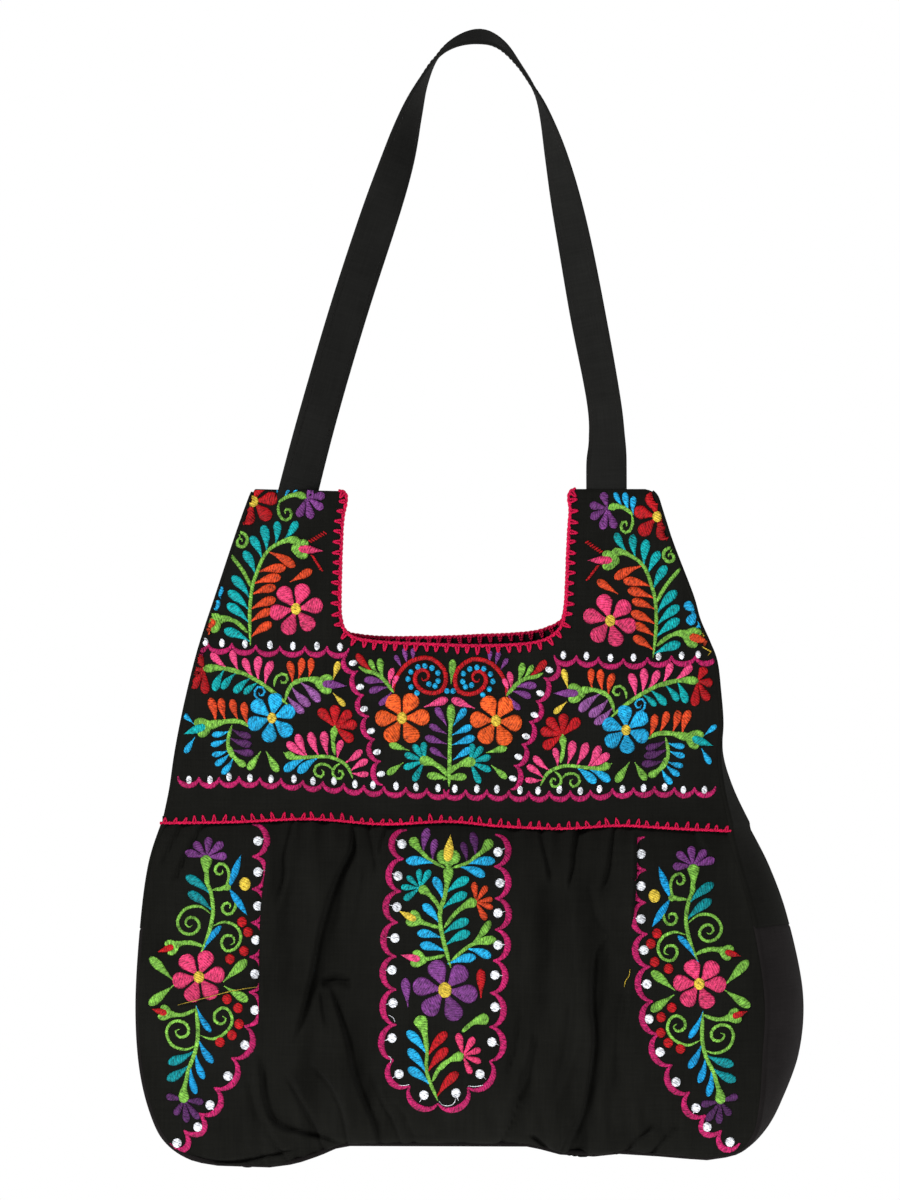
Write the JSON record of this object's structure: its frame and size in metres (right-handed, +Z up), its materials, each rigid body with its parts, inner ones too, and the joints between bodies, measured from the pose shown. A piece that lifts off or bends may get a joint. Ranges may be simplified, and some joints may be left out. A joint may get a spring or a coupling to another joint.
{
  "type": "embroidered handbag",
  "caption": "Soft black cotton shoulder bag with a square neckline, a gathered pouch, a side gusset, one long strap, bright floral embroidery and pink edging; it hangs from its strap.",
  "frame": {"origin": "the point where the bag hangs: the inner face of the strap at its top", "axes": "+Z up, the bag's front towards -Y, +X to the right in the front view"},
  "size_m": [0.4253, 0.1041, 0.733],
  "materials": {
    "black_cotton": "matt black cotton cloth",
    "grey_cotton": "matt charcoal cotton cloth",
    "pink_yarn": "lustrous pink cotton yarn, crocheted"
  },
  "bodies": {
    "root": {"front_yoke": "black_cotton", "back_yoke": "black_cotton", "front_pouch": "black_cotton", "back_pouch": "black_cotton", "left_side_gusset": "black_cotton", "right_side_gusset": "black_cotton", "bottom_gusset": "grey_cotton", "strap": "black_cotton", "front_neck_edging": "pink_yarn", "back_neck_edging": "pink_yarn", "waist_edging": "pink_yarn"}
  },
  "joints": []
}
